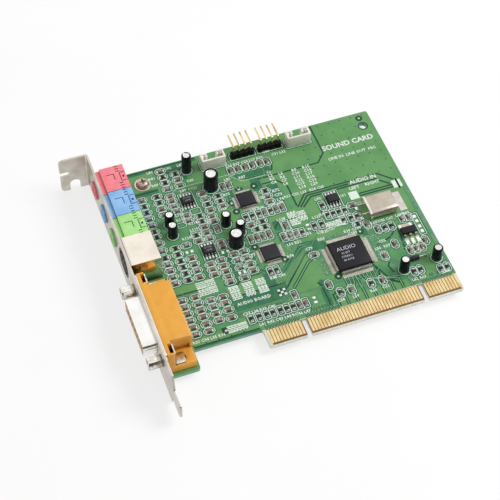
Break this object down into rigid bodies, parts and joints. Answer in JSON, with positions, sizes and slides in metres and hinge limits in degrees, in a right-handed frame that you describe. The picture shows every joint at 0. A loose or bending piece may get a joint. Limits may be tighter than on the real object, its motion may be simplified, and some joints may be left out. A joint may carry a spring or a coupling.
{
  "type": "sound card",
  "caption": "Plug-in sound card with a keyed gold edge connector, coloured audio jacks, round and D-shaped ports, and a folded steel bracket",
  "frame": {"origin": "middle of the edge connector's row of contacts, at the board's lower edge and halfway through its thickness", "axes": "+X along the edge connector away from the bracket, +Y from the connector towards the pin headers, +Z out of the component side"},
  "size_m": [0.1329, 0.12, 0.0184],
  "materials": {
    "pcb": "semi-gloss solder mask over glass laminate",
    "gold": "thin gold plate",
    "bracket_steel": "bright zinc-plated sheet",
    "bright_steel": "nickel plate",
    "green_plastic": "moulded",
    "blue_plastic": "moulded",
    "pink_plastic": "moulded",
    "tin": "bright tin plate",
    "black_plastic": "moulded",
    "amber_plastic": "moulded",
    "white_plastic": "moulded",
    "chip_epoxy": "fine spark texture",
    "can_aluminium": "drawn",
    "sleeve_film": "shrunk film",
    "rubber_bung": "moulded",
    "film_black": "glazed",
    "tan_ceramic": "fired",
    "lilac_ferrite": "fired",
    "solder": "shiny solder"
  },
  "bodies": {
    "root": {"circuit_board": "pcb", "edge_contacts": "gold", "bracket": "bracket_steel", "bracket_screw": "bright_steel", "line_out_jack": "green_plastic", "line_in_jack": "blue_plastic", "microphone_jack": "pink_plastic", "jack_contacts": "tin", "round_port_shield": "bright_steel", "round_port_core": "black_plastic", "round_port_contacts": "tin", "game_port_housing": "amber_plastic", "game_port_shell": "bright_steel", "game_port_face": "amber_plastic", "game_port_contacts": "gold", "jackscrews": "bright_steel", "clinch_nuts": "tin", "board_locks": "tin", "left_audio_header": "white_plastic", "right_audio_header": "white_plastic", "audio_header_pins": "tin", "left_side_header": "black_plastic", "right_side_header": "black_plastic", "side_header_pins": "gold", "main_chip": "chip_epoxy", "main_chip_leads": "tin", "converter_chips": "chip_epoxy", "converter_leads": "tin", "amplifier_chips": "chip_epoxy", "amplifier_leads": "tin", "memory_chip": "chip_epoxy", "memory_leads": "tin", "regulator": "chip_epoxy", "regulator_leads": "tin", "crystal_can": "bracket_steel", "crystal_base": "tin", "crystal_leads": "tin", "diode": "chip_epoxy", "diode_leads": "tin", "capacitor_cans": "can_aluminium", "capacitor_sleeves": "sleeve_film", "capacitor_bungs": "rubber_bung", "capacitor_leads": "tin", "chip_resistors": "film_black", "chip_capacitors": "tan_ceramic", "ferrite_beads": "lilac_ferrite", "resistor_ends": "tin", "capacitor_ends": "tin", "bead_ends": "tin", "solder_joints": "solder"}
  },
  "joints": []
}
